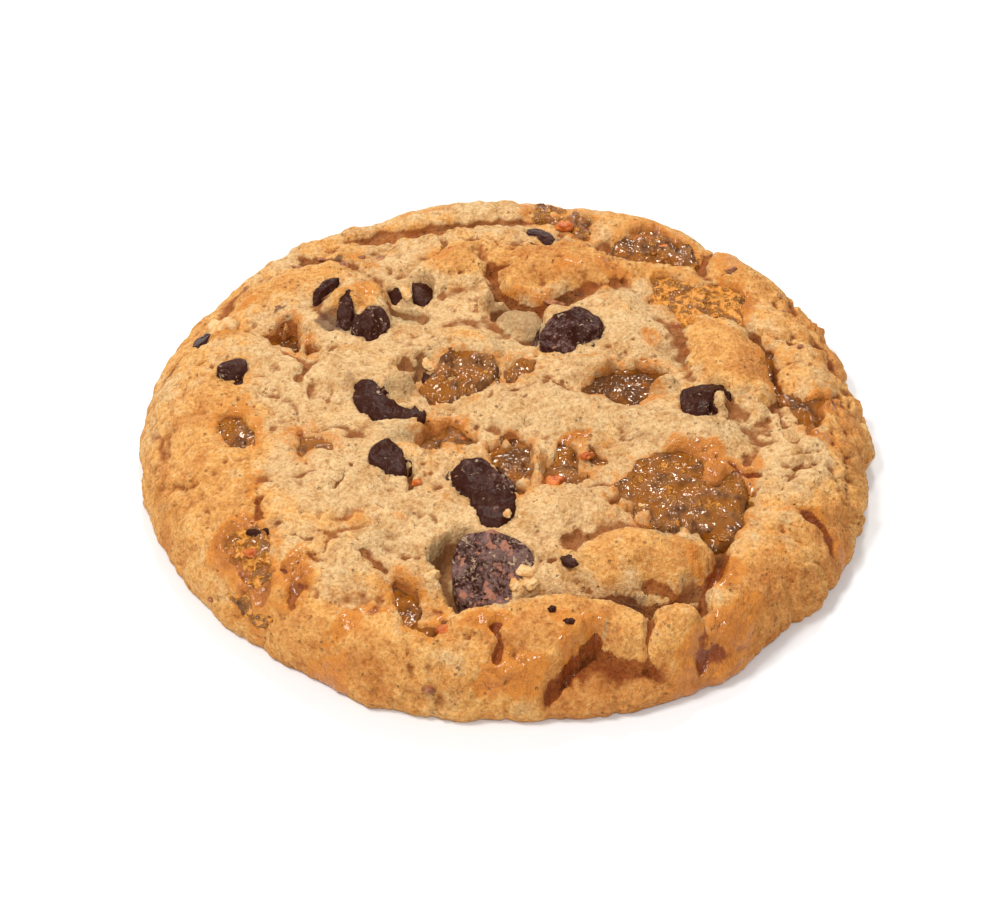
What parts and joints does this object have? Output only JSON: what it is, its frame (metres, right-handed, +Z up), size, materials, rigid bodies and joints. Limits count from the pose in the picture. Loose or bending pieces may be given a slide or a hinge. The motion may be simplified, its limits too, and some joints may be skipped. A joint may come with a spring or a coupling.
{
  "type": "chocolate chip cookie",
  "caption": "Large round soft-baked cookie with dark chocolate chips and melted toffee set in a lobed, cracked, golden top; it lies on its flat base.",
  "frame": {"origin": "middle of the flat base on the surface it lies on", "axes": "+Z up through the thickness; +Y away from the viewer in the picture, +X to the right"},
  "size_m": [0.11, 0.1114, 0.0163],
  "materials": {
    "dough": "matte baked dough, pale gold with browner rim",
    "chocolate": "dark chocolate, satin with a dusty bloom",
    "toffee": "glossy melted toffee"
  },
  "bodies": {
    "root": {"chip_back": "chocolate", "chip_crown": "chocolate", "chip_hook": "chocolate", "chip_left_edge": "chocolate", "chip_lobe_front": "chocolate", "chip_lobe_left": "chocolate", "chip_matte": "chocolate", "chip_oval": "chocolate", "chip_right_hook": "chocolate", "chip_shade": "chocolate", "chip_tall": "chocolate", "chunk_front": "chocolate", "dough": "dough", "toffee_back_right": "toffee", "toffee_beside_chip": "toffee", "toffee_centre": "toffee", "toffee_crease": "toffee", "toffee_crevice": "toffee", "toffee_dimple": "toffee", "toffee_far_left": "toffee", "toffee_far_right": "toffee", "toffee_front": "toffee", "toffee_hollow": "toffee", "toffee_left_edge": "toffee", "toffee_left_pit": "toffee", "toffee_middle": "toffee", "toffee_pit": "toffee", "toffee_pool": "toffee", "toffee_right": "toffee"}
  },
  "joints": []
}
